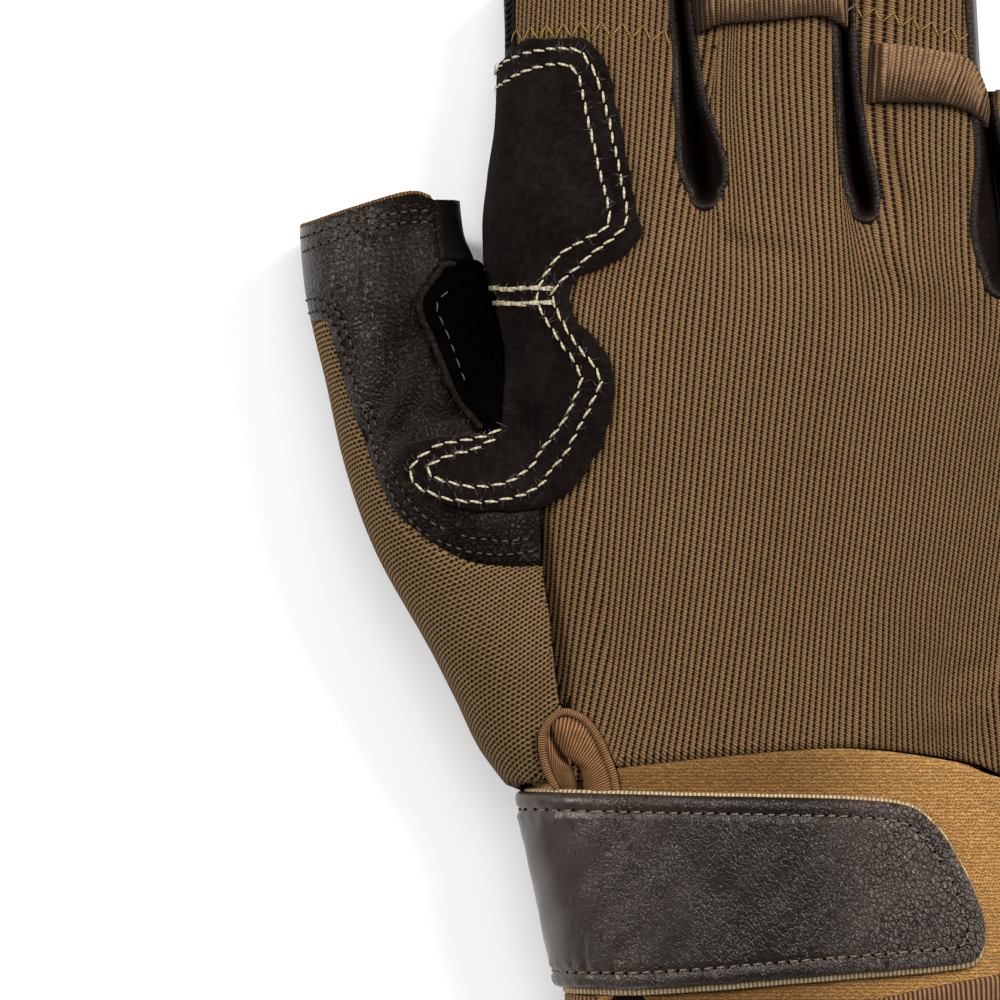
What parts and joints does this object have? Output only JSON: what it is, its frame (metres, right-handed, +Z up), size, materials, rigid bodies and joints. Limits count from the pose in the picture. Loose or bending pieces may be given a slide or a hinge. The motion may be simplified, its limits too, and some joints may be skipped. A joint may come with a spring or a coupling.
{
  "type": "half-finger climbing glove",
  "caption": "Half-finger climbing glove for the right hand: ribbed knit back, leather palm and thumb, suede side patch, pull loops, stretch cuff with a wrist strap.",
  "frame": {"origin": "under the middle of the palm, on the flat of the palm that the glove rests on", "axes": "+Y from the wrist to the fingertips, +Z up from the palm to the back of the hand, thumb on the -X side"},
  "size_m": [0.1345, 0.1854, 0.0343],
  "materials": {
    "rib_knit": "ribbed stretch knit, olive brown, matt",
    "fine_knit": "fine knit, olive brown, matt",
    "grain_leather": "pebbled dark brown leather, soft sheen",
    "black_leather": "smooth black leather",
    "fourchette_leather": "dark brown leather with rolled rims",
    "suede": "black-brown suede, cream double stitching",
    "grosgrain": "light brown grosgrain tape",
    "cuff_knit": "golden tan stretch knit",
    "backing": "beige brushed fabric",
    "strap_leather": "dark brown grain leather, soft sheen"
  },
  "bodies": {
    "root": {"back_panel": "rib_knit", "palm_panel": "grain_leather", "side_leather": "grain_leather", "thumb_leather": "grain_leather", "thumb_side_strip": "black_leather", "thumb_gusset": "fine_knit", "thumb_inner_patch": "suede", "index_side_patch": "suede", "fourchette_index": "fourchette_leather", "fourchette_middle": "fourchette_leather", "fourchette_ring": "fourchette_leather", "middle_pull_loop": "grosgrain", "ring_pull_loop": "grosgrain", "cuff": "cuff_knit", "cuff_binding": "grosgrain", "vent_binding": "grosgrain", "vent_gusset": "grosgrain", "strap_backing": "backing", "wrist_strap": "strap_leather"}
  },
  "joints": []
}
